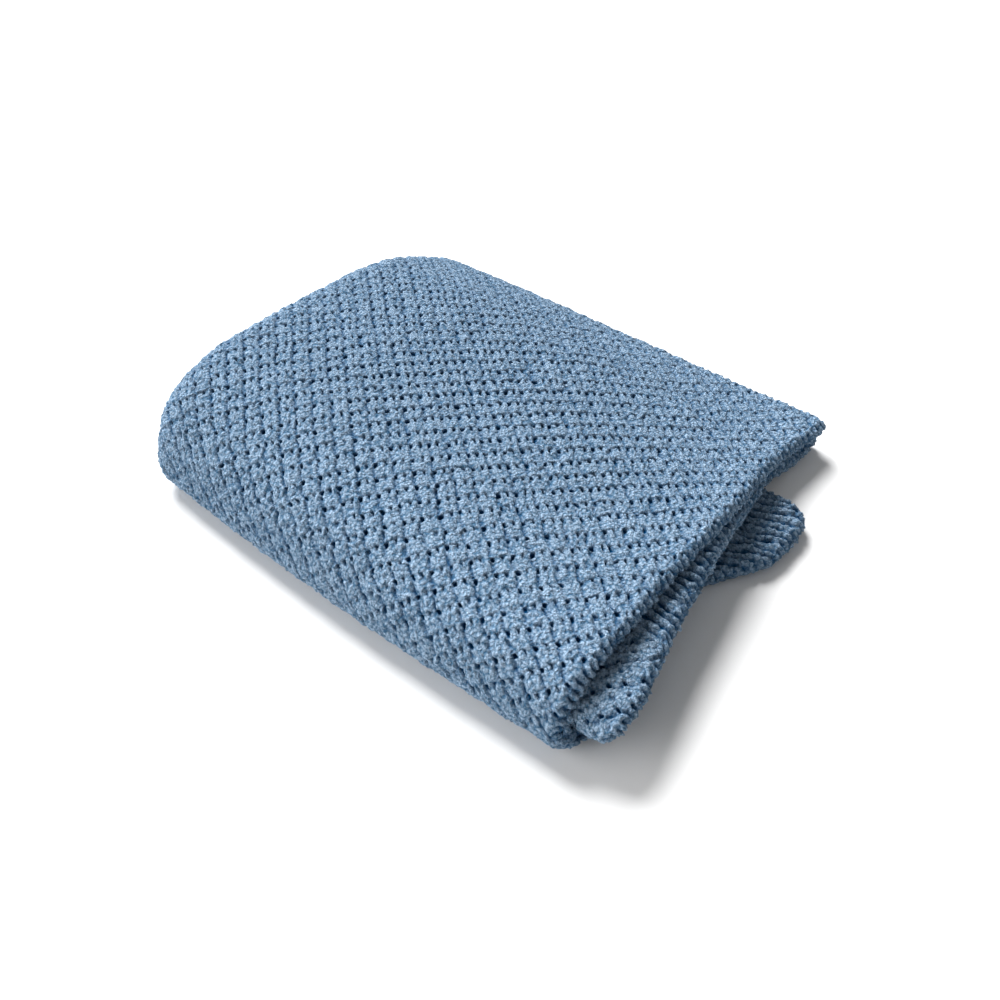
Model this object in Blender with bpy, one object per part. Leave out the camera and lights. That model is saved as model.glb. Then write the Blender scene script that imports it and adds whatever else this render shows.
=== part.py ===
"""A chunky knit blanket, folded in quarters and laid on a surface.

The blanket is one knitted sheet. It is folded once at its left end (-X), which makes
a pair of layers, an outer and an inner one, and the pair is folded again along its
front side (-Y). So up to four layers lie on each other. The left end shows two
rounded folds and the front side one. The cut ends of the layers lie at the right
(+X), where the inner ones stand out past the top one in front. The hems lie at the
back (+Y): the upper pair reaches further and droops to the surface, and a corner of
the lowest layer sticks out on the right.

Tables are in millimetres and degrees, and the mesh is in metres. +Z is up, and the
origin is the centre of the footprint, on the surface.
"""
import math

import bmesh
import bpy
import numpy as np

MM = 0.001

# The knitted sheet
SHEET = 12.0            # thickness
END_ROUND = 5.0         # how far the cut end of a layer is rounded outwards
HEM_ROUND = 4.0         # how far a hem is rounded outwards
HEM_THIN = 0.5          # share of the thickness left at the outermost line of a hem

# The left end, where the sheet is folded first
LEFT_DEPTH = 24.0       # length of a left fold's rounding along X

# The front, where the pair is folded again
FRONT_BOW = 6.0         # how far the front fold bows out at mid-length
FRONT_LENGTH = 390.0    # length of the front fold

# How the rows' right and left values are mixed along the blanket
MIX_TABLE = (
    # x, share of the left value
    (-220.0, 1.02),
    (-140.0, 1.00),
    (0.0, 0.59),
    (171.0, 0.00),
    (216.0, 0.00),
)

# One row for each line across the pair of layers, from the upper hem at the back,
# over the front fold, to the lower hem. The outer layer is given by its outside,
# which is seen from above, in front and below, and the inner layer by its inside,
# where the pair meets itself. The turn is the direction of the outside: 0 is up,
# 90 is forwards and 180 is down. Left and right values are mixed along the blanket.
ROW_COLUMNS = (
    "turn", "outer_y_right", "outer_y_left", "outer_z_right", "outer_z_left", "outer_end",
    "inner_y_right", "inner_y_left", "inner_z_right", "inner_z_left", "inner_end",
    "left_end", "steps",
)
ROWS = (
    # upper hem, drooping to the surface
    (0, 168, 168, 29, 36, 184, 166, 167, 0, 0, 181, -209, 2),
    (0, 151, 151, 29.5, 47, 182, 151, 151, 0.5, 9, 181, -212, 3),
    (0, 116, 116, 32, 62, 176, 116, 116, 5.5, 34, 178, -213, 3),
    # over the lower hems and along the crown
    (0, 85, 85, 38.5, 72.5, 174, 85, 85, 13, 41, 175, -214, 3),
    (0, 50, 50, 43.5, 78, 175, 50, 50, 17.5, 42.5, 178, -214, 3),
    (0, 8, 8, 50, 80, 176, 8, 8, 24.5, 42.5, 181, -214, 3),
    (0, -28, -28, 53, 80.5, 175, -28, -28, 27.5, 42.5, 185, -214, 3),
    (0, -88, -88, 56, 80, 173, -88, -88, 27.5, 42, 192, -214, 3),
    # down the front slope and round the front fold
    (5, -128, -128, 58, 73, 173, -122, -120, 27.5, 39, 198, -212, 2),
    (25, -154, -155, 54, 61, 172, -141, -138, 27.3, 36, 201, -209, 2),
    (50, -170, -171, 44, 46, 172, -149, -146, 27.1, 33.5, 201, -205, 2),
    (75, -179, -181, 30, 29, 173, -152.5, -149.5, 26.9, 31.5, 199, -202, 2),
    (100, -182, -185, 17, 16, 174, -153.5, -150.5, 26.6, 30.5, 197, -200, 2),
    (130, -177, -180, 5.5, 5.5, 177, -153, -150, 26.2, 30, 196, -200, 2),
    (160, -166, -169, 0.8, 0.8, 180, -150.5, -147.5, 25.8, 30, 196, -201, 2),
    # along the surface to the lower hems
    (180, -155, -157, 0, 0, 182, -145, -142, 25.6, 30, 196, -202, 2),
    (180, -120, -115, 0, 0, 181, -118, -115, 25.6, 31, 194, -206, 4),
    (180, -26, -10, 0, 0, 180, -62, -10, 25.6, 32, 185, -208, 2),
    (180, -9, 10, 0, 0, 189, -52, 10, 25.6, 32, 180, -208, 2),
    (180, 9, 32, 0, 0, 201, -42, 32, 25.6, 32, 179, -208, 2),
    (180, 26, 52, 0, 0, 210, -34, 52, 25.6, 32, 178, -208, 2),
    (180, 53, 80, 0, 0, 213, -22, 80, 25.6, 32, 178, -207, 2),
    (180, 72, 102, 0, 0, 211, -15, 102, 25.4, 31.5, 178, -206, 1),
    (180, 82, 118, 0, 0, 199, -10, 118, 25, 31, 176, -205, 0),
)

# How finely the sheet is divided
FACE_STEPS = 10         # along a layer, from its cut end to the left fold
FOLD_STEPS = 8          # round a left fold
ROUND_STEPS = 4         # round the cut end of a layer


def smooth_through(knots, values, at):
    """Cubic curve through a table's values that never overshoots a row.

    Each row's slope is the harmonic mean of the chords beside it, and zero where the
    values turn.
    """
    knots, values = np.asarray(knots, float), np.asarray(values, float)
    gaps = np.diff(knots)
    chords = np.diff(values) / gaps
    slopes = np.zeros(len(knots))
    one_way = chords[:-1] * chords[1:] > 0.0
    before, after = chords[:-1][one_way], chords[1:][one_way]
    slopes[1:-1][one_way] = 2.0 * before * after / (before + after)
    slopes[0], slopes[-1] = chords[0], chords[-1]
    at = np.clip(at, knots[0], knots[-1])
    row = np.clip(np.searchsorted(knots, at, side="right") - 1, 0, len(gaps) - 1)
    gap = gaps[row]
    t = (at - knots[row]) / gap
    return (
        values[row] * (1 + 2 * t) * (1 - t) ** 2
        + slopes[row] * gap * t * (1 - t) ** 2
        + values[row + 1] * t * t * (3 - 2 * t)
        - slopes[row + 1] * gap * t * t * (1 - t)
    )


def station_lines():
    """Named arrays with the rows' values at each line across the pair of layers.

    The lines are spread between the rows by each row's number of steps. A last line at
    each hem is moved outwards and thinned, which rounds the hem off.
    """
    table = {name: np.array(column, float) for name, column in zip(ROW_COLUMNS, zip(*ROWS))}
    chord = np.hypot(np.diff(table["outer_y_right"]), np.diff(table["outer_z_right"]))
    knots = np.concatenate(([0.0], np.cumsum(chord)))
    along = [knots[0]]
    for start, end, steps in zip(knots, knots[1:], table["steps"]):
        along += list(start + (end - start) * np.arange(1, int(steps) + 1) / steps)
    lines = {name: smooth_through(knots, table[name], along) for name in ROW_COLUMNS[:-1]}
    lines["thin"] = np.ones(len(along))
    for name, values in lines.items():
        lines[name] = np.concatenate((values[:1], values, values[-1:]))
    for hem in (0, -1):
        lines["thin"][hem] = HEM_THIN
        for name in ("outer_y_right", "outer_y_left", "inner_y_right", "inner_y_left"):
            lines[name][hem] += HEM_ROUND
    return lines


def layer(lines, which, x):
    """Outside and inside of one layer at each line and each x, as two (y, z) grids.

    A layer is as thick as the sheet along the turn of its line.
    """
    mix = smooth_through(*zip(*MIX_TABLE), x)
    column = {name: values[:, None] for name, values in lines.items()}
    y = column[which + "_y_right"] * (1 - mix) + column[which + "_y_left"] * mix
    z = column[which + "_z_right"] * (1 - mix) + column[which + "_z_left"] * mix
    turn = np.radians(column["turn"])
    y = y - FRONT_BOW * np.sin(turn) * np.cos(math.pi * x / FRONT_LENGTH)
    outwards = np.stack((-np.sin(turn), np.cos(turn)), axis=-1)
    given = np.stack((y, z), axis=-1)
    spare = 0.5 * (1.0 - column["thin"][..., None]) * SHEET
    if which == "outer":
        return given - spare * outwards, given - (SHEET - spare) * outwards
    return given + (SHEET - spare) * outwards, given + spare * outwards


def joined(x, yz):
    """Points (x, y, z) from a grid of x and a grid of (y, z)."""
    return np.concatenate((x[..., None], yz), axis=-1)


def sheet_grid():
    """The sheet's points, one closed ring for each line across the pair, and the
    number of points along one side of the ring.

    A ring runs along the outside of the outer layer, round the left fold and back
    along the inside of the inner layer; then round that layer's cut end, back the same
    way along the sheet's other side, and round the cut end of the outer layer. A left
    fold is half an ellipse between the two layers, and a cut end is half of one too.
    """
    lines = station_lines()
    centre = (lines["left_end"] + LEFT_DEPTH)[:, None]
    share = np.linspace(0.0, 1.0, FACE_STEPS + 1)
    outer_x = lines["outer_end"][:, None] * (1 - share) + centre * share
    inner_x = lines["inner_end"][:, None] * (1 - share) + centre * share
    outer_out, outer_in = layer(lines, "outer", outer_x)
    inner_out, inner_in = layer(lines, "inner", inner_x)

    def fold(top, bottom, depth):
        angle = np.linspace(0.0, math.pi, FOLD_STEPS + 1)[1:-1]
        middle, half = 0.5 * (top + bottom)[:, None], 0.5 * (top - bottom)[:, None]
        yz = middle + half * np.cos(angle)[None, :, None]
        return joined(centre - depth * np.sin(angle), yz)

    def cut_end(x, start, end):
        angle = np.linspace(0.0, math.pi, ROUND_STEPS + 1)[1:-1]
        middle, half = 0.5 * (start + end)[:, None], 0.5 * (start - end)[:, None]
        yz = middle + half * np.cos(angle)[None, :, None]
        return joined(x[:, None] + END_ROUND * np.sin(angle), yz)

    first_side = (
        joined(outer_x, outer_out),
        fold(outer_out[:, -1], inner_in[:, -1], LEFT_DEPTH),
        joined(inner_x, inner_in)[:, ::-1],
    )
    other_side = (
        joined(inner_x, inner_out),
        fold(inner_out[:, -1], outer_in[:, -1], LEFT_DEPTH - SHEET),
        joined(outer_x, outer_in)[:, ::-1],
    )
    ring = np.concatenate(
        first_side
        + (cut_end(inner_x[:, 0], inner_in[:, 0], inner_out[:, 0]),)
        + other_side
        + (cut_end(outer_x[:, 0], outer_in[:, 0], outer_out[:, 0]),),
        axis=1,
    )
    return ring, sum(part.shape[1] for part in first_side)


def hem_faces(ring, side):
    """Faces that close one hem: a strip between the sheet's sides and two round ends."""
    extra = ROUND_STEPS - 1
    first, other = ring[:side], ring[side + extra:2 * side + extra][::-1]
    strip = [list(quad) for quad in zip(first[:-1], first[1:], other[1:], other[:-1])]
    inner_end = [first[-1], *ring[side:side + extra], other[-1]]
    outer_end = [other[0], *ring[2 * side + extra:], first[0]]
    return strip + [inner_end, outer_end]


def sheet_mesh(name):
    """Closed mesh of the sheet: walls between its rings and a hem at each end."""
    grid, side = sheet_grid()
    rings, around = grid.shape[:2]
    points = grid.reshape(-1, 3)
    low, high = points.min(axis=0), points.max(axis=0)
    origin = np.array([0.5 * (low[0] + high[0]), 0.5 * (low[1] + high[1]), low[2]])
    index = np.arange(rings * around).reshape(rings, around)
    here, there = index[:-1], index[1:]
    walls = np.stack((here, there, np.roll(there, -1, 1), np.roll(here, -1, 1)), axis=-1)
    faces = walls.reshape(-1, 4).tolist()
    faces += hem_faces(index[0].tolist(), side)
    faces += [face[::-1] for face in hem_faces(index[-1].tolist(), side)]
    mesh = bpy.data.meshes.new(name)
    mesh.from_pydata(((points - origin) * MM).tolist(), [], faces)
    shape = bmesh.new()
    shape.from_mesh(mesh)
    bmesh.ops.recalc_face_normals(shape, faces=shape.faces)
    shape.to_mesh(mesh)
    shape.free()
    mesh.shade_smooth()
    mesh.set_sharp_from_angle(angle=math.radians(50.0))
    return mesh


def chenille_material():
    """Blue-grey chenille yarn: matt all over."""
    material = bpy.data.materials.new("blue_chenille")
    material.use_nodes = True
    colour = (0.20, 0.32, 0.47, 1.0)
    shader = material.node_tree.nodes["Principled BSDF"]
    shader.inputs["Base Color"].default_value = colour
    shader.inputs["Roughness"].default_value = 0.95
    shader.inputs["Metallic"].default_value = 0.0
    material.diffuse_color = colour
    return material


def main():
    for old in list(bpy.data.objects):
        bpy.data.objects.remove(old)
    blanket = bpy.data.objects.new("blanket", sheet_mesh("blanket"))
    blanket.data.materials.append(chenille_material())
    bpy.context.scene.collection.objects.link(blanket)


main()
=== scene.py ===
"""The looks of a chunky knit blanket that is folded in quarters and lies on a surface.

The blanket is one knitted sheet of chenille yarn. It is built in three groups: the knitted
faces with their stitches in relief, the ropes that show on the sheet's other side near its
cut ends and hems, and a thin ground cloth that follows the folds inside the knit.

Sizes in the tables are in millimetres. Meshes are in metres, in the frame's axes.
"""
import math

import bpy
import numpy as np
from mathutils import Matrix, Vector


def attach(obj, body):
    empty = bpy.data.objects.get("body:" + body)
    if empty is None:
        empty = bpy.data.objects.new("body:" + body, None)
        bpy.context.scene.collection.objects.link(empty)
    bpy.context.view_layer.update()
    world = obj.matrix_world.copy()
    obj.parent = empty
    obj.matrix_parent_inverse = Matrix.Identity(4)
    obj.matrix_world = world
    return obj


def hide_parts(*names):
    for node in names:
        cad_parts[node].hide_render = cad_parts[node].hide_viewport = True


bl_info = {
    "name": "Chunky knit blanket",
    "version": (1, 0, 0),
    "blender": (4, 5, 0),
    "location": "View3D > Sidebar > Blanket",
    "description": "Builds a folded chunky knit blanket with its stitches, edges and stage",
    "category": "Object",
}

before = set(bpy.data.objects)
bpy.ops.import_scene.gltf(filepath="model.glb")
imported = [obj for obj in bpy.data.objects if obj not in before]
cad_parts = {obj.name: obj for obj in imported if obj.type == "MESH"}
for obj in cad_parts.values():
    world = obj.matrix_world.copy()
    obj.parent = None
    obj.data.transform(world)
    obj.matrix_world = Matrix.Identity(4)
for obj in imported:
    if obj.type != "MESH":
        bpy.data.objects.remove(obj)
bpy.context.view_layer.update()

MM = 0.001
BODY = "root"
NODE = "blanket"
SLOT = "chenille_yarn"              # also the name of the frame's own plain material
YARN = "knitted_chenille"           # name of the material of the knit
FLOOR_GAP = 0.1                     # millimetres under the knit's lowest points

# ---------------------------------------------------------------- folds of the sheet

SHEET = 12.0                        # thickness of the knitted sheet
LEFT_DEPTH = 24.0                   # length of a left fold's rounding along X
END_ROUND = 5.0                     # how far an edge is rounded outwards
FRONT_BOW = 6.0                     # how far the front fold bows out at mid-length
FRONT_LENGTH = 390.0                # length of the front fold
TABLE_CENTRE = (2.0, -8.907, 0.0)   # middle of the footprint in the tables' own X, Y, Z

# How the rows' right and left values are mixed along the blanket
MIX_TABLE = (
    # x, share of the left value
    (-220.0, 1.02),
    (-140.0, 1.00),
    (0.0, 0.59),
    (171.0, 0.00),
    (216.0, 0.00),
)

# One row for each line across the pair of layers, from the upper hem at the back, over
# the front fold, to the lower hem. The outer layer is given by its outside, the inner
# one by its inside. The turn is the direction of the outside: 0 is up, 90 is forwards.
ROW_COLUMNS = (
    "turn", "outer_y_right", "outer_y_left", "outer_z_right", "outer_z_left", "outer_end",
    "inner_y_right", "inner_y_left", "inner_z_right", "inner_z_left", "inner_end",
    "left_end",
)
ROWS = (
    # upper hem, drooping to the surface
    (0, 168, 168, 29, 36, 184, 166, 167, 0, 0, 181, -209),
    (0, 151, 151, 29.5, 47, 182, 151, 151, 0.5, 9, 181, -212),
    (0, 116, 116, 32, 62, 176, 116, 116, 5.5, 34, 178, -213),
    # over the lower hems and along the crown
    (0, 85, 85, 38.5, 72.5, 174, 85, 85, 13, 41, 175, -214),
    (0, 50, 50, 43.5, 78, 175, 50, 50, 17.5, 42.5, 178, -214),
    (0, 8, 8, 50, 80, 176, 8, 8, 24.5, 42.5, 181, -214),
    (0, -28, -28, 53, 80.5, 175, -28, -28, 27.5, 42.5, 185, -214),
    (0, -88, -88, 56, 80, 173, -88, -88, 27.5, 42, 192, -214),
    # down the front slope and round the front fold
    (5, -128, -128, 58, 73, 173, -122, -120, 27.5, 39, 198, -212),
    (25, -154, -155, 54, 61, 172, -141, -138, 27.3, 36, 201, -209),
    (50, -170, -171, 44, 46, 172, -149, -146, 27.1, 33.5, 201, -205),
    (75, -179, -181, 30, 29, 173, -152.5, -149.5, 26.9, 31.5, 199, -202),
    (100, -182, -185, 17, 16, 174, -153.5, -150.5, 26.6, 30.5, 197, -200),
    (130, -177, -180, 5.5, 5.5, 177, -153, -150, 26.2, 30, 196, -200),
    (160, -166, -169, 0.8, 0.8, 180, -150.5, -147.5, 25.8, 30, 196, -201),
    # along the surface to the lower hems
    (180, -155, -157, 0, 0, 182, -145, -142, 25.6, 30, 196, -202),
    (180, -120, -115, 0, 0, 181, -118, -115, 25.6, 31, 194, -206),
    (180, -26, -10, 0, 0, 180, -62, -10, 25.6, 32, 185, -208),
    (180, -9, 10, 0, 0, 189, -52, 10, 25.6, 32, 180, -208),
    (180, 9, 32, 0, 0, 201, -42, 32, 25.6, 32, 179, -208),
    (180, 26, 52, 0, 0, 210, -34, 52, 25.6, 32, 178, -208),
    (180, 53, 80, 0, 0, 213, -22, 80, 25.6, 32, 178, -207),
    (180, 72, 102, 0, 0, 211, -15, 102, 25.4, 31.5, 178, -206),
    (180, 82, 118, 0, 0, 199, -10, 118, 25, 31, 176, -205),
)
CROWN_ROW = 5                       # the row from which lengths across the cloth are counted

# How finely the folded shape is worked out, before the stitches are laid on it
STATIONS = 421                      # lines across the pair
MAP_STEP = 2.0                      # spacing of a cloth map's points
MAP_REACH = (-664.0, 222.0)         # p from end to end of a map, past both cut ends
FOLD_COLUMN = -190.0                # p at which a map reads where the left folds lie

# --------------------------------------------------------------------- sizes of the knit

STITCH = 12.5                       # width and height of a stitch
BIAS = 49.04                        # angle between the stitches' rows and the front fold
NET_START = (4.9, 1.6)              # where the first stitch of the net lies, along p and q
RELIEF = 4.5                        # depth of the hollows between the stitches
LOFT = 15.0                         # thickness of the knit where its ends are seen
ROLL_INSET = 3.0                    # where an edge's rounding begins, inside the cut line
ROLL_LENGTH = 12.5                  # length of an edge's rounding from a face to the middle
ROLL_REACH = 13.5                   # how far round an edge the stitches of a face go
TUCK = 0.45                         # greatest height of a face's border, under the other face
LEFT_STRETCH = (40.0, 160.0)        # distance left of the middle over which stitches stretch
FRONT_STRETCH = (50.0, 120.0)       # the same before the crown
BACK_CLOSING = (30.0, 140.0)        # distance behind the crown over which hollows close
BACK_CLOSED = 0.45                  # share by which they close

# Heights are shares of the relief: 0 at the bottom of a hollow and 1 on top of a stitch.
# Places and sizes in a stitch are shares of its width, from the left, and height, down.
ROUND_PLACE, ROUND_HALF = (0.07, 0.160), (0.126, 0.148)     # hollow beside a stitch
NARROW_PLACE, NARROW_HALF = (0.57, 0.150), (0.072, 0.165)   # hollow between its legs
NARROW_DEPTH = 0.95                 # of the round hollow's
HOLLOW_SQUARENESS = 3.0             # 2 is an ellipse, and more comes near a rectangle
HOLLOW_WALL = (0.60, 1.16)          # where a hollow's wall ends and begins, in half sizes
GROOVE_PLACES = (-0.02, 0.98)       # grooves between columns, a little left of a stitch's sides
GROOVE_WIDTH, GROOVE_DEPTH = 0.055, 0.19
GROOVE_TOP = (0.22, 0.46)           # where a groove begins, down the stitch
GAP_WIDTHS, GAP_DEPTH = (0.06, 0.04), 0.11                  # gap over and under a row
HOOK_PLACE, HOOK_SIZE, HOOK_DEPTH = (0.57, 0.64), (0.07, 0.06), 0.20    # dent in the loop
LIP_PLACE, LIP_WIDTH, LIP_RISE = 0.86, 0.10, 0.05           # lower edge of the loop
LEG_PLACE, LEG_RISE = 0.37, 0.03    # left leg, with the right one half a stitch further
LEG_CROSSING = (0.78, 0.13, 0.8)    # where the right leg fills the gap: place, width, share
CROWN_MIDDLE = (0.48, 0.55)         # middle of the loop's back
CROWN_FALL = (0.22, 0.08)           # how far it falls to its sides and to its ends
CROWN_POWERS = (2.4, 3)             # and how suddenly
CROWN_TOP = (0.15, 0.45)            # where it begins, down the stitch
LOOP_PLACE, LOOP_WIDTH = 0.6, 0.2   # where the loop hides the legs, down the stitch
LEAN = 0.06                         # how far a stitch's top leans down over the next row
TUFTS_IN_HOLLOW = 0.5               # share of the tufts at the bottom of a hollow
TUFTS_RISE = (0.1, 0.5)             # heights over which they grow to their full size

# What stretched and slack cloth do to them
ROUND_NARROWED = 0.016              # taken off a round hollow's half width by stretch
ROUND_CLOSED = 0.8                  # share of the closing that a round hollow takes
NARROW_STRETCHED = 0.50             # share by which stretch closes a narrow hollow
GAP_STRETCHED = 0.6                 # the same for the gap between rows
GROOVE_SHARES = (0.55, 0.75)        # a groove in cloth at rest, and what stretch adds

# How much of each feature a stitch has, drawn for every stitch
FEATURES = {
    # name: (seed, middle, spread, lowest, highest)
    "round hollow": (11, 0.86, 0.14, 0.30, 1.10),
    "narrow hollow": (12, 0.84, 0.16, 0.25, 1.10),
    "groove": (13, 0.90, 0.25, 0.20, 1.60),
    "hook": (14, 0.80, 0.50, 0.00, 1.80),
}

# Lines of a stitch's own grid, in shares of its width and height. They lie closer
# together where a hollow begins or ends.
STITCH_X = (-0.06, 0.0, 0.08, 0.16, 0.22, 0.30, 0.38, 0.46, 0.51, 0.57, 0.63, 0.71, 0.79, 0.87)
STITCH_Y = (0.0, 0.045, 0.11, 0.2, 0.29, 0.36, 0.45, 0.55, 0.66, 0.77, 0.87, 0.95)

# Ribs cross an edge where the stitches end
RIB_PITCH = 6.25                    # spacing of the ribs along the edge
RIB_RISE = (0.55, 0.95, 1.15)       # lowest, usual and highest rib
RIB_VALLEY = 0.08                   # height between two ribs
RIB_ROUNDNESS = 0.7                 # 1 is a sine's back, and less is blunter
LUMP_PITCH = 5.5                    # spacing of the lumps along a rib
LUMPS = (0.90, 0.15)                # their middle height and swing
RIB_START = (1.0, 7.0)              # length past the edge over which the ribs set in
RIB_SHARE = 0.8                     # how much of the stitches they take over

# On the sheet's other side the stitches stand in ropes that run along p
ROPE_STITCH = 12.5                  # length of a stitch along its rope
ROPE_PITCH = 7.2                    # spacing of the ropes
ROPE_VALLEY = (0.92, 0.22)          # middle depth of the valley between two, and its swing
ROPE_BACK = (1.8, 0.8)              # powers that round a rope's back
ROPE_TOP = 1.05                     # height of a rope
STRAND_RISE = 0.12                  # how far the strands that slant over a rope stand out
OUTER_SLANT = -18.0                 # angle of the outer layer's ropes from p towards q
FRONT_CHANGE = (98.0, 122.0)        # distance before the crown over which the inner end's
                                    # ropes give way to stitches

# Smooth noise that makes the knit uneven. Sizes are in millimetres for the ribs, in the
# ropes' own stitches and spacings for the ropes, and in stitches for all others.
NOISE = {
    # name: (strength, size, seed)
    "rib sway": (0.9, 9.0, 91),
    "rib rise": (0.22, 4.5, 92),
    "lump shift": (1.0, 6.0, 93),
    "net across, broad": (0.05, 0.7, 31),
    "net across, fine": (0.02, 0.3, 32),
    "net down, broad": (0.05, 0.7, 33),
    "net down, fine": (0.02, 0.3, 34),
    "hollow across": (0.022, 0.18, 24),
    "hollow down": (0.030, 0.18, 25),
    "stitch rise": (0.05, 0.9, 23),
    "rope along": (0.10, 1.3, 82),
    "rope across": (0.16, 1.1, 83),
    "rope rise": (0.10, 0.8, 26),
    "tuft, large": (0.06, 0.24, 21),
    "tuft, middle": (0.06, 0.15, 22),
    "tuft, small": (0.05, 0.09, 27),
}
ROPE_SEED = 81                      # seed of the ropes' shifts along their length
RANDOM_SIDE = 256                   # side of the tables of random numbers

# How far each knitted piece goes, in millimetres along the cloth. Pieces overlap inside
# the folds, where nothing shows.
TURNED_UNDER = -245.0               # q at which the front fold has turned under
PAST_FOLD = 25.0                    # upper face and underside past the left folds
MOUTH_WIDTH = 50.0                  # inner layer's show side, from its end and hems inwards
END_ROPES = 60.0                    # ropes, from a cut end inwards
HEM_ROPES = 100.0                   # ropes, from a hem inwards


# ------------------------------------------------------------------------ small tools

def linear_colour(code):
    """Linear RGBA from an sRGB hex code such as '7FA0C0'."""
    parts = [int(code[i:i + 2], 16) / 255.0 for i in (0, 2, 4)]
    return [c / 12.92 if c <= 0.04045 else ((c + 0.055) / 1.055) ** 2.4 for c in parts] + [1.0]


def default_colour(code):
    """The same without alpha, for a colour property's default."""
    return tuple(linear_colour(code)[:3])


def soft_step(low, high, value):
    """Cubic step from 0 below low to 1 above high."""
    t = np.clip((value - low) / (high - low), 0.0, 1.0)
    return t * t * (3.0 - 2.0 * t)


def bump(value, centre, width):
    """Bell curve of height 1."""
    return np.exp(-((value - centre) / width) ** 2)


def unit(vectors):
    """Vectors scaled to length 1, along the last axis."""
    return vectors / np.maximum(np.linalg.norm(vectors, axis=-1, keepdims=True), 1e-9)


def random_table(seed):
    """Square table of normal random numbers, the same for the same seed."""
    return np.random.default_rng(seed).standard_normal((RANDOM_SIDE, RANDOM_SIDE))


def value_noise(u, v, size, seed):
    """Smooth noise: one random number at each knot of a square net with that spacing,
    joined by cubic steps."""
    table = random_table(seed)
    x, y = u / size, v / size
    i, j = np.floor(x).astype(int), np.floor(y).astype(int)
    s, t = soft_step(0.0, 1.0, x - i), soft_step(0.0, 1.0, y - j)
    i, j = i % RANDOM_SIDE, j % RANDOM_SIDE
    i2, j2 = (i + 1) % RANDOM_SIDE, (j + 1) % RANDOM_SIDE
    top = table[j, i] * (1 - s) + table[j, i2] * s
    low = table[j2, i] * (1 - s) + table[j2, i2] * s
    return top * (1 - t) + low * t


def noise(name, u, v):
    """Smooth noise of the strength, size and seed that its table gives."""
    strength, size, seed = NOISE[name]
    return strength * value_noise(u, v, size, seed)


def drawn(feature, unit_i, unit_j):
    """A feature's random share for each stitch: a normal number, cut off at both ends."""
    seed, middle, spread, low, high = FEATURES[feature]
    shares = np.clip(middle + spread * random_table(seed), low, high)
    return shares[unit_j % RANDOM_SIDE, unit_i % RANDOM_SIDE]


def make_mesh(name, points, faces, **attributes):
    """Object with the points (millimetres, in the tables' own axes) and faces given, and
    a float attribute on its points for each further array."""
    points = (points.reshape(-1, 3) - np.array(TABLE_CENTRE)) * MM
    points[:, 2] = np.maximum(points[:, 2], FLOOR_GAP * MM)
    used, faces = np.unique(faces, return_inverse=True)
    faces = faces.reshape(-1, 4)
    mesh = bpy.data.meshes.new(name)
    mesh.vertices.add(len(used))
    mesh.vertices.foreach_set("co", points[used].astype(np.float32).ravel())
    mesh.loops.add(faces.size)
    mesh.loops.foreach_set("vertex_index", faces.astype(np.int32).ravel())
    mesh.polygons.add(len(faces))
    mesh.polygons.foreach_set("loop_start", np.arange(0, faces.size, 4, dtype=np.int32))
    mesh.update(calc_edges=True)
    for key, values in attributes.items():
        layer = mesh.attributes.new(key, "FLOAT", "POINT")
        layer.data.foreach_set("value", values.ravel()[used].astype(np.float32))
    mesh.shade_smooth()
    mesh.validate()
    piece = bpy.data.objects.new(name, mesh)
    bpy.context.scene.collection.objects.link(piece)
    return piece


def grid_faces(rows, columns):
    """Four-cornered faces of a grid, one for each square of points beside each other."""
    index = np.arange(rows * columns).reshape(rows, columns)
    return np.stack((index[:-1, :-1], index[1:, :-1], index[1:, 1:], index[:-1, 1:]), axis=-1)


def carried(piece, material):
    """The piece with its material, riding on the blanket's body."""
    piece.data.materials.append(material)
    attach(piece, BODY)
    return piece


# ------------------------------------------------------------------- the folded shape

def smooth_through(knots, values, at):
    """Cubic curve through a table's values that never overshoots a row.

    Each row's slope is the harmonic mean of the chords beside it, and zero where the
    values turn.
    """
    knots, values = np.asarray(knots, float), np.asarray(values, float)
    gaps = np.diff(knots)
    chords = np.diff(values) / gaps
    slopes = np.zeros(len(knots))
    one_way = chords[:-1] * chords[1:] > 0.0
    before, after = chords[:-1][one_way], chords[1:][one_way]
    slopes[1:-1][one_way] = 2.0 * before * after / (before + after)
    slopes[0], slopes[-1] = chords[0], chords[-1]
    at = np.clip(at, knots[0], knots[-1])
    row = np.clip(np.searchsorted(knots, at, side="right") - 1, 0, len(gaps) - 1)
    gap = gaps[row]
    t = (at - knots[row]) / gap
    return (
        values[row] * (1 + 2 * t) * (1 - t) ** 2
        + slopes[row] * gap * t * (1 - t) ** 2
        + values[row + 1] * t * t * (3 - 2 * t)
        - slopes[row + 1] * gap * t * t * (1 - t)
    )


TABLE = {name: np.array(column, float) for name, column in zip(ROW_COLUMNS, zip(*ROWS))}
KNOTS = np.concatenate((
    [0.0],
    np.cumsum(np.hypot(np.diff(TABLE["outer_y_right"]), np.diff(TABLE["outer_z_right"]))),
))


def lines_at(knot):
    """Named arrays with the rows' values at places along the rows' knots."""
    return {name: smooth_through(KNOTS, TABLE[name], knot) for name in ROW_COLUMNS}


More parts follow.
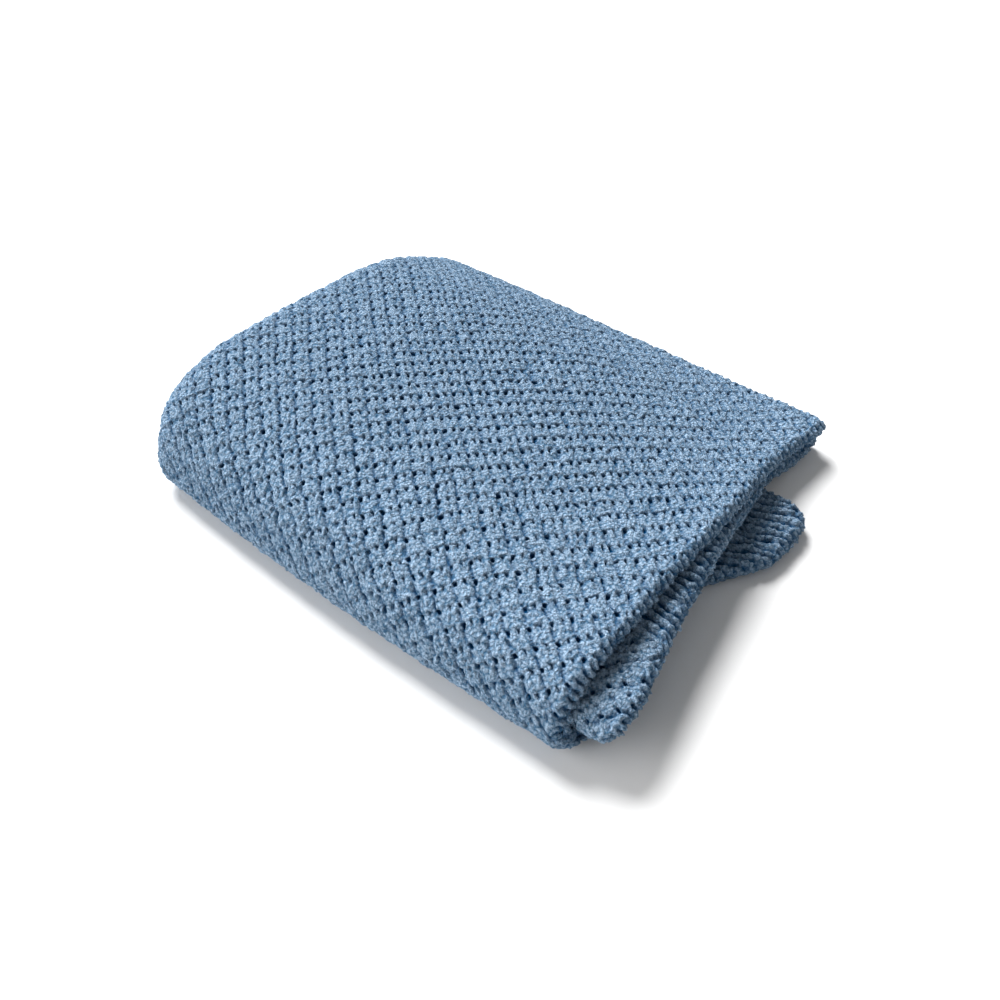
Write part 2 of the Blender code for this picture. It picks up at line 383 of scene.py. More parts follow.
def layer_point(lines, which, x, depth):
    """(y, z) of a layer at x, that many millimetres under the face that the fold shows:
    the outside of the outer layer and the inside of the inner one.

    It is the mix of the row's right and left values at x. The front fold bows out by a
    cosine along its length, and the depth is taken off against the row's turn.
    """
    mix = smooth_through(*zip(*MIX_TABLE), x)
    y = lines[which + "_y_right"] * (1 - mix) + lines[which + "_y_left"] * mix
    z = lines[which + "_z_right"] * (1 - mix) + lines[which + "_z_left"] * mix
    turn = np.radians(lines["turn"])
    y = y - FRONT_BOW * np.sin(turn) * np.cos(math.pi * x / FRONT_LENGTH)
    inwards = -depth if which == "outer" else depth
    return np.stack((y - inwards * np.sin(turn), z + inwards * np.cos(turn)), axis=-1)


def fold_shape(lines, depth):
    """Where the half ellipse begins by which a left fold joins the two layers, that many
    millimetres under the fold's face, with its middle, half height and length. The length
    comes from the half axes by the usual close formula for an ellipse."""
    centre = lines["left_end"] + LEFT_DEPTH
    top = layer_point(lines, "outer", centre, depth)
    bottom = layer_point(lines, "inner", centre, depth)
    middle, half = 0.5 * (top + bottom), 0.5 * (top - bottom)
    a, b = LEFT_DEPTH - depth, np.linalg.norm(half, axis=-1)
    length = 0.5 * math.pi * (3 * (a + b) - np.sqrt((3 * a + b) * (a + 3 * b)))
    return centre, middle, half, length


def face_points(depth, knot, p):
    """Points of the folded sheet, that many millimetres under the face that shows.

    p runs along the cloth: it equals x on the outer layer, falls by the length of the
    half ellipse round the left fold, and goes on falling along the inner layer.
    """
    knot, p = np.broadcast_arrays(np.asarray(knot, float), np.asarray(p, float))
    lines = lines_at(knot)
    centre, middle, half, length = fold_shape(lines, depth)
    beyond = centre - p
    angle = math.pi * np.clip(beyond / length, 0.0, 1.0)
    outer_x = np.maximum(p, centre)
    inner_x = centre + np.maximum(beyond - length, 0.0)
    outer = layer_point(lines, "outer", outer_x, depth)
    inner = layer_point(lines, "inner", inner_x, depth)
    fold = middle + half * np.cos(angle)[..., None]
    fold_x = centre - (LEFT_DEPTH - depth) * np.sin(angle)
    on_outer, on_inner = beyond <= 0.0, beyond >= length
    x = np.where(on_outer, outer_x, np.where(on_inner, inner_x, fold_x))
    yz = np.where(on_outer[..., None], outer, np.where(on_inner[..., None], inner, fold))
    return np.concatenate((x[..., None], yz), axis=-1)


def inner_end_p(depth, knot):
    """p of the inner layer's cut end: from where the left fold begins back by its length,
    and by the inner layer's own."""
    lines = lines_at(knot)
    centre, _, _, length = fold_shape(lines, depth)
    return centre - length - (lines["inner_end"] - centre)


class ClothMap:
    """A face of the folded sheet as a map from flat lengths to space.

    p runs along the cloth as face_points says, and q across it, as the length measured
    on that face from the crown, towards the upper hem. The face is worked out on a net of
    stations and p, its lengths are summed across it, and it is read again on an even net.
    """

    def __init__(self, depth):
        knot = np.linspace(0.0, KNOTS[-1], STATIONS)
        self.p = np.arange(*MAP_REACH, MAP_STEP)
        points = face_points(depth, knot[:, None], self.p[None, :])
        along = unit(np.gradient(points, axis=1))
        across = unit(-np.gradient(points, axis=0))
        normals = unit(np.cross(along, across))
        self.turned = depth > 0.5 * SHEET
        if self.turned:
            normals = -normals
        steps = np.linalg.norm(np.diff(points, axis=0), axis=-1)
        length = np.concatenate((np.zeros((1, len(self.p))), np.cumsum(steps, axis=0)))
        crown = np.array([np.interp(KNOTS[CROWN_ROW], knot, column) for column in length.T])
        q = crown[None, :] - length
        self.low, self.high = q[-1], q[0]
        self.q = np.arange(self.low.min() - MAP_STEP, self.high.max() + MAP_STEP, MAP_STEP)
        # Each column of the net is read again at even q, for all thirteen numbers of a point
        knots = np.repeat(knot[:, None, None], len(self.p), 1)
        fields = np.concatenate((points, normals, along, across, knots), axis=-1)
        self.fields = np.empty((len(self.p), len(self.q), fields.shape[-1]))
        for i in range(len(self.p)):
            for k in range(fields.shape[-1]):
                self.fields[i, :, k] = np.interp(self.q, q[::-1, i], fields[::-1, i, k])
        knots = self.fields[..., -1]
        outer_end = TABLE["outer_end"].mean()
        column = np.abs(self.p - outer_end).argmin()
        self.outer_end = smooth_through(KNOTS, TABLE["outer_end"], knots[column])
        column = np.abs(self.p - inner_end_p(depth, KNOTS[CROWN_ROW])).argmin()
        self.inner_end = inner_end_p(depth, knots[column])
        column = np.abs(self.p - FOLD_COLUMN).argmin()
        lines = lines_at(knots[column])
        centre, _, _, fold = fold_shape(lines, depth)
        self.fold_end = centre - fold

    def at(self, p, q):
        """Points, normals and the directions of p and q at flat lengths: a mean of the
        even net's four points around, by how near each is."""
        # Places beyond the net are kept just inside its last square
        i = np.clip((p - self.p[0]) / MAP_STEP, 0, len(self.p) - 1.001)
        j = np.clip((q - self.q[0]) / MAP_STEP, 0, len(self.q) - 1.001)
        i0, j0 = i.astype(int), j.astype(int)
        s, t = (i - i0)[..., None], (j - j0)[..., None]
        f = self.fields[..., :-1]
        low = f[i0, j0] * (1 - t) + f[i0, j0 + 1] * t
        high = f[i0 + 1, j0] * (1 - t) + f[i0 + 1, j0 + 1] * t
        both = low * (1 - s) + high * s
        return [both[..., :3]] + [unit(both[..., k:k + 3]) for k in (3, 6, 9)]

    def wrapped(self, p, q, height):
        """Points of the knit at flat lengths, and which ones lie beyond its reach.

        Past an edge the knit goes on round the sheet: its length beyond the edge is
        wound round a quarter of an ellipse, half as high as the knit is thick, and its
        stitches merge into ribs across the edge. The points are sunk under that surface
        by the relief that is left above them.
        """
        base_p = np.clip(
            p, np.interp(q, self.q, self.inner_end) + ROLL_INSET,
            np.interp(q, self.q, self.outer_end) - ROLL_INSET,
        )
        base_q = np.clip(
            q, np.interp(base_p, self.p, self.low) + ROLL_INSET,
            np.interp(base_p, self.p, self.high) - ROLL_INSET,
        )
        over_p, over_q = p - base_p, q - base_q
        excess = np.hypot(over_p, over_q)
        points, normals, along, across = self.at(base_p, base_q)
        out = unit(over_p[..., None] * along + over_q[..., None] * across)
        angle = (0.5 * math.pi / ROLL_LENGTH * np.minimum(excess, ROLL_REACH))[..., None]
        beside = np.where(np.abs(over_p) > np.abs(over_q), base_q, base_p)
        ribs = rib_height(beside, excess, p, q)
        height = height + RIB_SHARE * soft_step(*RIB_START, excess) * (ribs - height)
        half, deep = 0.5 * LOFT, END_ROUND + ROLL_INSET
        surface = points + half * (np.cos(angle) - 1.0) * normals + deep * np.sin(angle) * out
        facing = unit(np.cos(angle) / half * normals + np.sin(angle) / deep * out)
        beyond = excess > ROLL_REACH
        # Past the reach the border is sunk, and its low height also paints it with the hollows'
        # painted shade
        height = np.where(beyond, np.minimum(height, TUCK), height)
        return surface + ((height - 1.0) * RELIEF)[..., None] * facing, height, beyond


def near_hems(cloth, p, q, width):
    """Which places lie within that width of a hem."""
    high = np.interp(p, cloth.p, cloth.high) - width
    return (q > high) | (q < np.interp(p, cloth.p, cloth.low) + width)


def near_outer_end(cloth, p, q, width):
    """Which places lie within that width of the outer layer's cut end."""
    return p > np.interp(q, cloth.q, cloth.outer_end) - width


def near_inner_end(cloth, p, q, width):
    """Which places lie within that width of the inner layer's cut end."""
    return p < np.interp(q, cloth.q, cloth.inner_end) + width


def outside(cloth, p, q, margin):
    """Which places lie on the outer layer, on a left fold or just past it."""
    return p > np.interp(q, cloth.q, cloth.fold_end) - PAST_FOLD - margin


# ----------------------------------------------------------------------- the knit

def rib_height(beside, excess, p, q):
    """Height of the ribs across an edge: the blunt backs of a sine along the edge, times
    a slow swing of lumps outwards. Smooth noise sways them and makes them uneven."""
    beside = beside + noise("rib sway", p, q)
    lowest, usual, highest = RIB_RISE
    rise = np.clip(usual + noise("rib rise", p, q), lowest, highest)
    along_rib = excess / LUMP_PITCH + noise("lump shift", p, q)
    lumps = LUMPS[0] + LUMPS[1] * np.cos(2 * math.pi * along_rib)
    backs = np.abs(np.sin(math.pi * beside / RIB_PITCH)) ** RIB_ROUNDNESS
    return RIB_VALLEY + rise * lumps * backs


def hollow(u, v, centre, half):
    """Hollow with soft walls, 1 at its bottom, on a rounded rectangle: a cubic step over
    the distance from its centre in half sizes, raised to a power, summed and rooted."""
    across = np.abs((u - centre[0]) / half[0]) ** HOLLOW_SQUARENESS
    down = np.abs((v - centre[1]) / half[1]) ** HOLLOW_SQUARENESS
    return 1.0 - soft_step(*HOLLOW_WALL, (across + down) ** (1.0 / HOLLOW_SQUARENESS))


def stretched(p, q):
    """How far the stitches are pulled apart by the folds: 0 on the middle and right of the
    top, 1 towards the left end and down the front slope."""
    return np.maximum(soft_step(*LEFT_STRETCH, -p), soft_step(*FRONT_STRETCH, -q))


def stitch_height(u, v, unit_i, unit_j, flat_u, flat_v, stretch, closing):
    """Height of the knit, 0 at the bottom of a hollow and about 1 on a stitch.

    Each stitch is a wide loop low in its square, with two legs that rise from it to the
    row above. The loop's back is a crown that falls by powers of the distance from its
    middle. A round hollow lies between neighbouring stitches, a narrow one between the two
    legs, a groove runs down between the columns and a gap between the rows, the loop has
    a dent, and its lower edge is a lip. All are bell curves, but for the hollows, which
    the height is multiplied by. Each stitch has its own share of each feature. Where the
    cloth is stretched, the narrow hollow and the gap between rows close and the grooves
    deepen. Where it is slack, all hollows close by the share that closing gives.
    """
    round_open = drawn("round hollow", unit_i, unit_j) * (1.0 - ROUND_CLOSED * closing)
    narrow_open = drawn("narrow hollow", unit_i, unit_j) * (1.0 - NARROW_STRETCHED * stretch)
    narrow_open = narrow_open * (1.0 - closing)
    groove_open = drawn("groove", unit_i, unit_j) * (GROOVE_SHARES[0] + GROOVE_SHARES[1] * stretch)
    hook_open = drawn("hook", unit_i, unit_j)
    ragged_u = u + noise("hollow across", flat_u, flat_v)
    ragged_v = v + noise("hollow down", flat_u, flat_v)
    round_half = (ROUND_HALF[0] - ROUND_NARROWED * stretch, ROUND_HALF[1])
    round_hollow = hollow(ragged_u, ragged_v, ROUND_PLACE, round_half)
    narrow_hollow = hollow(ragged_u, ragged_v, NARROW_PLACE, NARROW_HALF)
    sides = bump(u, GROOVE_PLACES[0], GROOVE_WIDTH) + bump(u, GROOVE_PLACES[1], GROOVE_WIDTH)
    groove = sides * soft_step(*GROOVE_TOP, v)
    to_side = np.abs(2 * (u - CROWN_MIDDLE[0])) ** CROWN_POWERS[0]
    to_end = np.abs(2 * (v - CROWN_MIDDLE[1])) ** CROWN_POWERS[1]
    crown = 1.0 - CROWN_FALL[0] * to_side * soft_step(*CROWN_TOP, v) - CROWN_FALL[1] * to_end
    leg_place, leg_width, leg_share = LEG_CROSSING
    rows = bump(v, 0.0, GAP_WIDTHS[0]) + bump(v, 1.0, GAP_WIDTHS[1])
    between = rows * (1.0 - leg_share * bump(u, leg_place, leg_width))
    between = between * (1.0 - GAP_STRETCHED * stretch)
    lip = bump(v, LIP_PLACE, LIP_WIDTH)
    hook = bump(u, HOOK_PLACE[0], HOOK_SIZE[0]) * bump(v, HOOK_PLACE[1], HOOK_SIZE[1])
    legs = np.cos(4 * math.pi * (u - LEG_PLACE)) * (1 - bump(v, LOOP_PLACE, LOOP_WIDTH))
    height = crown - GROOVE_DEPTH * groove_open * groove - GAP_DEPTH * between
    height -= HOOK_DEPTH * hook * hook_open
    height += LIP_RISE * lip + LEG_RISE * legs
    narrow_share = NARROW_DEPTH * narrow_hollow * narrow_open
    height *= 1.0 - np.maximum(round_hollow * round_open, narrow_share)
    return height + noise("stitch rise", flat_u, flat_v)


def rope_height(p, q, slant):
    """Height of the knit's other side, 0 at the bottom of a hollow and about 1 on a rope.

    The ropes run at that angle from p towards q. Each has a round back across, and
    strands that slant over it like a twist's. Between two ropes the valley sinks and
    rises once in each stitch, so that a long hollow lies between two places where the
    ropes touch. Smooth noise bends the ropes and makes them uneven.
    """
    slant = math.radians(slant)
    along = (p * math.cos(slant) + q * math.sin(slant)) / ROPE_STITCH
    across = (q * math.cos(slant) - p * math.sin(slant)) / ROPE_PITCH
    along = along + noise("rope along", along, across)
    across = across + noise("rope across", along, across)
    nearest = np.floor(across + 0.5).astype(int)
    rope = np.floor(across).astype(int)
    shift = random_table(ROPE_SEED)[0]
    touch = np.cos(2 * math.pi * (along + shift[nearest % RANDOM_SIDE]))
    valley = ROPE_VALLEY[0] + ROPE_VALLEY[1] * touch
    back = (1 - np.abs(2 * (across - rope) - 1) ** ROPE_BACK[0]) ** ROPE_BACK[1]
    # Two strands to a stitch, which slant by half a turn across the rope
    strands = np.cos(2 * math.pi * (2 * along + 0.5 * across + shift[rope % RANDOM_SIDE]))
    height = ROPE_TOP - valley * (1 - back) + STRAND_RISE * back * strands
    return height + noise("rope rise", along, across)


def tufts(flat_u, flat_v):
    """Rise and fall of the chenille's tufts: smooth noise in three sizes, of about a
    quarter, a seventh and an eleventh of a stitch, added up."""
    return sum(noise("tuft, " + size, flat_u, flat_v) for size in ("large", "middle", "small"))


def knit_height(side, u, v, unit_i, unit_j, flat_u, flat_v, p, q):
    """Height of the knit of a side: stitches on the show side, and ropes on the other.
    On the inner layer's end the ropes give way to stitches towards the front, by a cubic
    step. Tufts are added, by half as much in the hollows."""
    if side == "outer back":
        height = rope_height(p, q, OUTER_SLANT)
    else:
        closing = BACK_CLOSED * soft_step(*BACK_CLOSING, q)
        height = stitch_height(u, v, unit_i, unit_j, flat_u, flat_v, stretched(p, q), closing)
    if side == "inner back":
        share = soft_step(*FRONT_CHANGE, -q)
        height = share * height + (1.0 - share) * rope_height(p, q, 0.0)
    share = TUFTS_IN_HOLLOW + (1.0 - TUFTS_IN_HOLLOW) * soft_step(*TUFTS_RISE, height)
    return height + tufts(flat_u, flat_v) * share


def knit_face(cloth, side, wanted, every):
    """Points, heights and faces of the knit over part of a cloth map, which of those
    faces stay, and their rows.

    The stitches lie in a square net that is turned by the bias against the front fold,
    and each has its own lines across it, or every second one of them. The net's points
    are pushed about by smooth noise, read through the map and wrapped round its edges.
    wanted tells from p and q of a face's corner, and a margin, whether it is in the part.
    """
    bias = math.radians(BIAS)
    a = STITCH * np.array([math.cos(bias), math.sin(bias)])
    b = STITCH * np.array([math.sin(bias), -math.cos(bias)])
    share_x, share_y = np.array(STITCH_X[::every]), np.array(STITCH_Y[::every])
    corners = np.array([[p, q] for p in cloth.p[[0, -1]] for q in cloth.q[[0, -1]]])
    flat = (corners - np.array(NET_START)) @ np.linalg.inv(np.stack((a, b)))
    low, high = np.floor(flat.min(axis=0)).astype(int), np.ceil(flat.max(axis=0)).astype(int)
    i, j = np.arange(low[0], high[0]), np.arange(low[1], high[1])
    unit_i, unit_j = np.repeat(i, len(share_x)), np.repeat(j, len(share_y))
    net_u = unit_i + np.tile(share_x, len(i))
    net_v = unit_j + np.tile(share_y, len(j))
    net_u, net_v = np.meshgrid(net_u, net_v)
    unit_i, unit_j = np.meshgrid(unit_i, unit_j)
    p0 = NET_START[0] + net_u * a[0] + net_v * b[0]
    q0 = NET_START[1] + net_u * a[1] + net_v * b[1]
    near = wanted(p0, q0, 2 * STITCH)
    rows, columns = np.flatnonzero(near.any(axis=1)), np.flatnonzero(near.any(axis=0))
    part = np.s_[rows[0]:rows[-1] + 1, columns[0]:columns[-1] + 1]
    net_u, net_v, unit_i, unit_j, p0, q0 = (x[part] for x in (net_u, net_v, unit_i, unit_j, p0, q0))
    height = knit_height(side, net_u - unit_i, net_v - unit_j, unit_i, unit_j, net_u, net_v, p0, q0)
    warp_u = noise("net across, broad", net_u, net_v) + noise("net across, fine", net_u, net_v)
    warp_v = noise("net down, broad", net_u, net_v) + noise("net down, fine", net_u, net_v)
    warp_v = warp_v + LEAN * height
    p = p0 + warp_u * a[0] + warp_v * b[0]
    q = q0 + warp_u * a[1] + warp_v * b[1]
    points, height, beyond = cloth.wrapped(p, q, height)
    faces = grid_faces(*p.shape)
    gone = beyond.ravel()[faces].all(axis=-1)
    keep = wanted(p0[:-1, :-1], q0[:-1, :-1], 0.0) & ~gone
    return points, height, faces, keep, unit_j[:-1, :-1]


def knit_pieces(name, cloth, side, wanted, material, parts=1, every=1):
    """Knitted pieces over part of a cloth map, cut between rows of stitches into parts
    of about the same number of faces. On the sheet's other side the faces turn over."""
    points, height, faces, keep, rows = knit_face(cloth, side, wanted, every)
    if cloth.turned:
        faces = faces[..., ::-1]
    kept_rows = np.sort(rows[keep])
    limits = [kept_rows[len(kept_rows) * k // parts] for k in range(parts)] + [kept_rows[-1] + 1]
    for k in range(parts):
        here = keep & (rows >= limits[k]) & (rows < limits[k + 1])
        label = f"{name}_{k + 1}" if parts > 1 else name
        # The height also goes on the points, where the material paints shade into the low places
        carried(make_mesh(label, points, faces[here], height=height), material)


# ------------------------------------------------------------------------ the ground

GROUND_DEPTHS = (5.3, 6.7)          # its two sides, under the sheet's face
GROUND_LINES = 130                  # lines across the pair
GROUND_ALONG = 150                  # points along one side of a line
GROUND_INSET = 1.0                  # how far it stays inside the cut ends


def ground_sheet(name, material):
    """Thin closed sheet in the middle of the knit, on its folds.

    Both of its sides are read at even shares of the way from the outer layer's cut end,
    round the left fold, to the inner one's. Walls along the border close it.
    """
    knot = np.linspace(0.0, KNOTS[-1], GROUND_LINES)[:, None]
    share = np.linspace(0.0, 1.0, GROUND_ALONG)[None, :]
    sides = []
    for depth in GROUND_DEPTHS:
        start = lines_at(knot)["outer_end"] - GROUND_INSET
        stop = inner_end_p(depth, knot) + GROUND_INSET
        sides.append(face_points(depth, knot, start + (stop - start) * share))
    points = np.concatenate([side.reshape(-1, 3) for side in sides])
    count = GROUND_LINES * GROUND_ALONG
    front = grid_faces(GROUND_LINES, GROUND_ALONG).reshape(-1, 4)
    index = np.arange(count).reshape(GROUND_LINES, GROUND_ALONG)
    border = np.concatenate((index[0, :-1], index[:-1, -1], index[-1, :0:-1], index[:0:-1, 0]))
    ahead = np.roll(border, -1)
    walls = np.stack((border, ahead, ahead + count, border + count), axis=-1)
    back = front[:, ::-1] + count
    faces = np.concatenate((front, back, walls))
    return carried(make_mesh(name, points, faces), material)


# ------------------------------------------------------------------------ the finish

def add_node(tree, kind, settings=(), inputs=(), links=()):
    """New shader node with its settings, its inputs' values, and links into its inputs."""
    node = tree.nodes.new(kind)
    for key, value in dict(settings).items():
        setattr(node, key, value)
    for key, value in dict(inputs).items():
        node.inputs[key].default_value = value
    for key, source in dict(links).items():
        tree.links.new(source, node.inputs[key])
    return node


MIX_SHARE, MIX_FROM, MIX_TO = 0, 6, 7       # sockets of a mix of two colours
MIX_RESULT = 2

# The pile's fibres are about a tenth of a millimetre thick, too fine to show in the
# render. They are drawn as coarse as they need to be, as grains and as curled tufts.
PILE_GRAIN = 1.0                    # spacing of the grains
PILE_CURL = 2.174                   # spacing of the curls
CURL_WEIGHT = -0.8                  # what a curl's rim takes off the grains' height
PILE_DEPTH = 3.5                    # depth of the bump that both make
SPECK_RANGE = (-0.22, 0.40)         # from the pattern's darkest to its lightest value
SHADE_RANGE = (0.30, 0.92)          # heights over which the hollows' painted shade gives way to the pile's colour


def knitted_chenille(settings):
    """Chenille yarn of polyester pile, machine spun and hand knitted.

    The short pile scatters light all ways, so its face is matt and velvety with hardly a
    sheen. Its curled tufts show as fine light and dark specks. The hollows are painted a
    deeper, darker blue by their height: painted shade for the little light that comes out.
    """
    material = bpy.data.materials.new(YARN)
    material.use_nodes = True
    tree = material.node_tree
    shader = tree.nodes["Principled BSDF"]
    place = add_node(tree, "ShaderNodeTexCoord").outputs["Object"]
    height = add_node(tree, "ShaderNodeAttribute", {"attribute_name": "height"}).outputs["Fac"]
    pile = add_node(
        tree, "ShaderNodeTexNoise",
        inputs={
            "Scale": 1.0 / (PILE_GRAIN * MM), "Detail": 1.0, "Roughness": 0.7, "Distortion": 1.0,
        },
        links={"Vector": place},
    ).outputs["Fac"]
    curls = add_node(
        tree, "ShaderNodeTexVoronoi", {"feature": "F1"},
        inputs={"Scale": 1.0 / (PILE_CURL * MM), "Randomness": 1.0},
        links={"Vector": place},
    ).outputs["Distance"]
    # The curls times their weight, plus the grains
    tufts = add_node(
        tree, "ShaderNodeMath", {"operation": "MULTIPLY_ADD"},
        inputs={1: CURL_WEIGHT}, links={0: curls, 2: pile},
    ).outputs["Value"]
    speck = add_node(
        tree, "ShaderNodeMapRange",
        inputs={"From Min": SPECK_RANGE[0], "From Max": SPECK_RANGE[1]},
        links={"Value": tufts},
    ).outputs["Result"]
    # Painted shade: share of the pile's colour by height, 0 deep in a hollow and 1 on a stitch
    shade = add_node(
        tree, "ShaderNodeMapRange",
        inputs={"From Min": SHADE_RANGE[0], "From Max": SHADE_RANGE[1]},
        links={"Value": height},
    ).outputs["Result"]
    fleck = add_node(
        tree, "ShaderNodeMix", {"data_type": "RGBA"},
        inputs={
            MIX_FROM: (*settings.pile_dark, 1.0), MIX_TO: (*settings.pile_light, 1.0),
        },
        links={MIX_SHARE: speck},
    ).outputs[MIX_RESULT]
    # Painted shade: the hollows' dark blue is mixed in where the height is low, darkest at a
    # hollow's bottom
    colour = add_node(
        tree, "ShaderNodeMix", {"data_type": "RGBA"},
        inputs={MIX_FROM: (*settings.painted_hollow_shade, 1.0)},
        links={MIX_SHARE: shade, MIX_TO: fleck},
    ).outputs[MIX_RESULT]
    relief = add_node(
        tree, "ShaderNodeBump",
        inputs={"Strength": 1.0, "Distance": PILE_DEPTH * MM},
        links={"Height": tufts},
    ).outputs["Normal"]
    tree.links.new(colour, shader.inputs["Base Color"])
    tree.links.new(relief, shader.inputs["Normal"])
    shader.inputs["Roughness"].default_value = 0.95
    shader.inputs["Specular IOR Level"].default_value = 0.0
    shader.inputs["Sheen Weight"].default_value = 0.02
    shader.inputs["Sheen Roughness"].default_value = 0.5
    shader.inputs["Sheen Tint"].default_value = (*settings.pile_light, 1.0)
    return material


def pale_floor():
    """Painted studio floor: a matt, nearly white face with no glare."""
    material = bpy.data.materials.new("matt_white_floor")
    material.use_nodes = True
    shader = material.node_tree.nodes["Principled BSDF"]
    shader.inputs["Base Color"].default_value = linear_colour("F0F0F0")
    shader.inputs["Roughness"].default_value = 0.9
    shader.inputs["Specular IOR Level"].default_value = 0.1
    return material


# ------------------------------------------------------------------- the stage's sizes

LENS, SENSOR = 28.224, 36.0         # focal length and the sensor's width, in millimetres
CAMERA_PLACE = (0.27975, -0.35534, 0.42175)                 # metres
CAMERA_TURN = (44.63, 0.0, 38.38)   # degrees
FLOOR_SIDE = 40.0                   # metres
KEY_FROM = (-0.67, 0.32, 0.67)      # direction that the key light comes from
KEY_ANGLE = 30.0                    # degrees that it takes up in the sky
FILL_FROM = (-0.70, -0.68, 0.20)    # the same for the wide fill light
FILL_ANGLE = 60.0


def distant_light(name, origin, angle, strength):
    """Distant soft light from a direction, as a large studio softbox gives."""
    light = bpy.data.lights.new(name, "SUN")
    light.energy = strength
    light.angle = math.radians(angle)
    lamp = bpy.data.objects.new(name, light)
    lamp.location = origin
    lamp.rotation_euler = (-Vector(origin)).to_track_quat("-Z", "Y").to_euler()
    bpy.context.scene.collection.objects.link(lamp)


# ------------------------------------------------------------------------ the add-on

class BlanketSettings(bpy.types.PropertyGroup):
    """Colours and lights that a user would change, and sizes of the unfolded blanket that no step
    reads
    """
    pile_light: bpy.props.FloatVectorProperty(
        name="Pile, light", description="Colour of the tips of the chenille's pile",
        subtype="COLOR", size=3, min=0.0, max=1.0, default=default_colour("BAD4EE"))
    pile_dark: bpy.props.FloatVectorProperty(
        name="Pile, dark", description="Colour between the tufts of the pile",
        subtype="COLOR", size=3, min=0.0, max=1.0, default=default_colour("50789A"))
    # Painted shade: the dark blue that the material paints into the hollows by their height
    painted_hollow_shade: bpy.props.FloatVectorProperty(
        name="Hollow colour", description="Painted shade of the yarn deep between the stitches",
        subtype="COLOR", size=3, min=0.0, max=1.0, default=default_colour("005488"))
    flat_width: bpy.props.FloatProperty(
        name="Flat width", description="Width of the unfolded blanket",
        unit="LENGTH", min=0.1, default=0.64)
    flat_length: bpy.props.FloatProperty(
        name="Flat length", description="Length of the unfolded blanket",
        unit="LENGTH", min=0.1, default=0.80)
    key_power: bpy.props.FloatProperty(
        name="Key light", description="Strength of the large soft light from the back left",
        min=0.0, default=6.2)
    fill_power: bpy.props.FloatProperty(
        name="Fill light", description="Strength of the wide low light from the front left",
        min=0.0, default=3.8)
    sky_strength: bpy.props.FloatProperty(
        name="Sky", description="Strength of the even white light from all round",
        min=0.0, default=0.28)


class BLANKET_OT_stitches(bpy.types.Operator):
    """Knit the stitches of the show side: upper face, underside and inner layer's borders"""
    bl_idname = "blanket.stitches"
    bl_label = "Stitches"

    def execute(self, context):
        material = knitted_chenille(context.scene.blanket)
        show = ClothMap(0.0)

        def upper_face(p, q, margin):
            return outside(show, p, q, margin) & (q > TURNED_UNDER - margin)

        def underside(p, q, margin):
            return outside(show, p, q, margin) & (q <= TURNED_UNDER + margin)

        def inner_mouth(p, q, margin):
            end = near_inner_end(show, p, q, MOUTH_WIDTH + margin)
            hems = near_hems(show, p, q, MOUTH_WIDTH + margin)
            return end | (hems & ~outside(show, p, q, -margin))

        knit_pieces("knit_upper_face", show, "show", upper_face, material, parts=3)
        knit_pieces("knit_underside", show, "show", underside, material, every=2)
        knit_pieces("knit_inner_mouth", show, "show", inner_mouth, material, every=2)
        return {"FINISHED"}


class BLANKET_OT_ropes(bpy.types.Operator):
    """Knit the ropes that show on the other side near its cut ends and hems"""
    bl_idname = "blanket.ropes"
    bl_label = "Ropes"

    def execute(self, context):
        material = bpy.data.materials[YARN]
        back = ClothMap(LOFT)

        def outer_end(p, q, margin):
            return near_outer_end(back, p, q, END_ROPES + margin)

        def inner_end(p, q, margin):
            return near_inner_end(back, p, q, END_ROPES + margin)

        def hems(p, q, margin):
            ends = outer_end(p, q, -margin) | inner_end(p, q, -margin)
            return near_hems(back, p, q, HEM_ROPES + margin) & ~ends

        knit_pieces("ropes_outer_end", back, "outer back", outer_end, material)
        knit_pieces("ropes_inner_end", back, "inner back", inner_end, material)
        knit_pieces("ropes_hems", back, "outer back", hems, material, every=2)
        return {"FINISHED"}


class BLANKET_OT_ground(bpy.types.Operator):
    bl_idname = "blanket.ground"
    bl_label = "Ground cloth"

    def execute(self, context):
        # The knit hides it but for a hair's breadth, so it keeps the frame's plain material
        ground = ground_sheet("blanket_cloth", bpy.data.materials[SLOT])
        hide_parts(NODE)
        return {"FINISHED"}


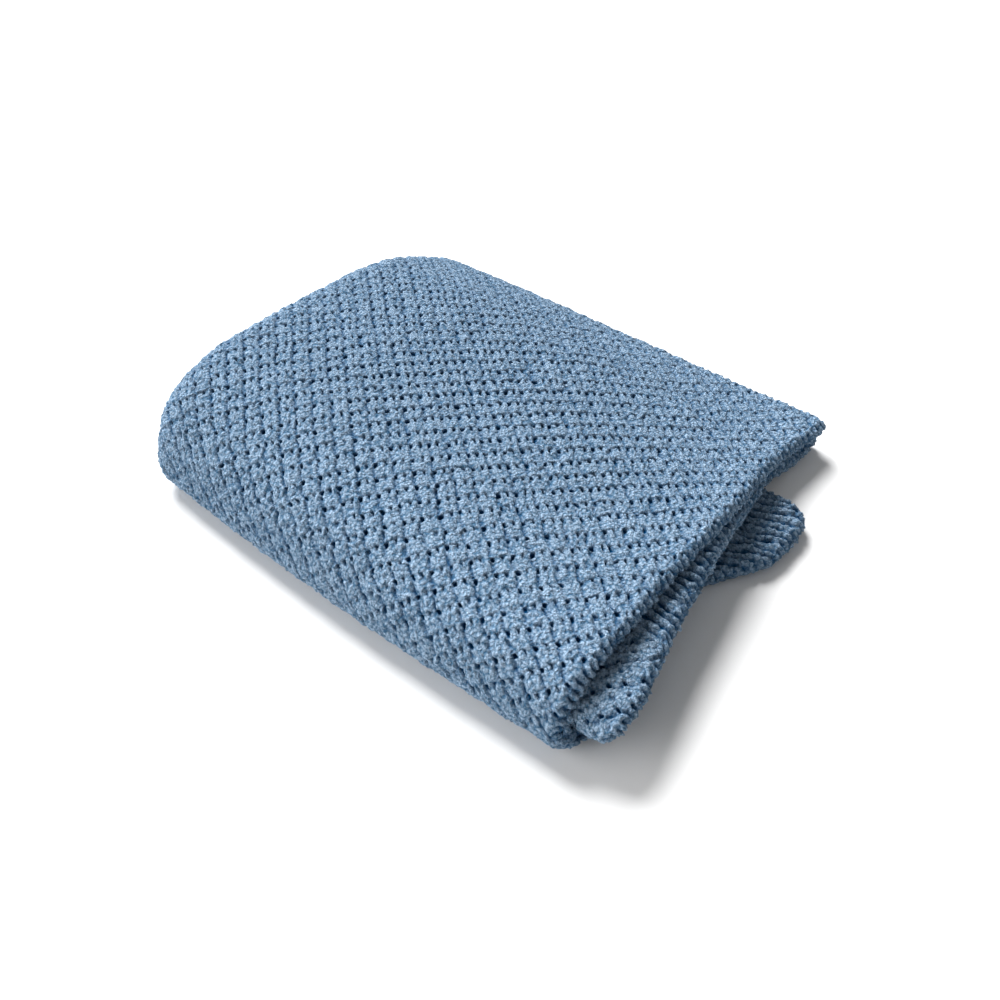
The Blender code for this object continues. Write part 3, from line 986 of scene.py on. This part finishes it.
class BLANKET_OT_stage(bpy.types.Operator):
    """Set the floor, the lights and the camera"""
    bl_idname = "blanket.stage"
    bl_label = "Stage"

    def execute(self, context):
        settings = context.scene.blanket
        half = 0.5 * FLOOR_SIDE
        mesh = bpy.data.meshes.new("floor")
        corners = [(-half, -half, 0.0), (half, -half, 0.0), (half, half, 0.0), (-half, half, 0.0)]
        mesh.from_pydata(corners, [], [(0, 1, 2, 3)])
        mesh.materials.append(pale_floor())
        floor = bpy.data.objects.new("floor", mesh)
        context.scene.collection.objects.link(floor)
        distant_light("key_light", KEY_FROM, KEY_ANGLE, settings.key_power)
        distant_light("fill_light", FILL_FROM, FILL_ANGLE, settings.fill_power)
        world = bpy.data.worlds.new("studio")
        world.use_nodes = True
        sky = world.node_tree.nodes["Background"]
        sky.inputs["Color"].default_value = (1.0, 1.0, 1.0, 1.0)
        sky.inputs["Strength"].default_value = settings.sky_strength
        context.scene.world = world
        context.scene.view_settings.view_transform = "Standard"
        camera = bpy.data.objects.new("camera", bpy.data.cameras.new("camera"))
        camera.data.lens = LENS
        camera.data.sensor_width = SENSOR
        camera.location = CAMERA_PLACE
        camera.rotation_euler = [math.radians(angle) for angle in CAMERA_TURN]
        context.scene.collection.objects.link(camera)
        context.scene.camera = camera
        return {"FINISHED"}


class BLANKET_PT_panel(bpy.types.Panel):
    """Sidebar panel that lists the blanket's sizes, colours and steps"""
    bl_idname = "BLANKET_PT_panel"
    bl_label = "Chunky knit blanket"
    bl_space_type = "VIEW_3D"
    bl_region_type = "UI"
    bl_category = "Blanket"

    def draw(self, context):
        for name in BlanketSettings.__annotations__:
            self.layout.prop(context.scene.blanket, name)
        for step in STEPS:
            self.layout.operator(step.bl_idname)


STEPS = (BLANKET_OT_stitches, BLANKET_OT_ropes, BLANKET_OT_ground, BLANKET_OT_stage)
CLASSES = (BlanketSettings, *STEPS, BLANKET_PT_panel)


def register():
    """Add the classes to Blender and the settings to its scenes."""
    for item in CLASSES:
        bpy.utils.register_class(item)
    bpy.types.Scene.blanket = bpy.props.PointerProperty(type=BlanketSettings)


def unregister():
    """Take them away again."""
    del bpy.types.Scene.blanket
    for item in reversed(CLASSES):
        bpy.utils.unregister_class(item)


def main():
    """Run the steps in order."""
    register()
    bpy.ops.blanket.stitches()
    bpy.ops.blanket.ropes()
    bpy.ops.blanket.ground()
    bpy.ops.blanket.stage()


if __name__ == "__main__":
    main()
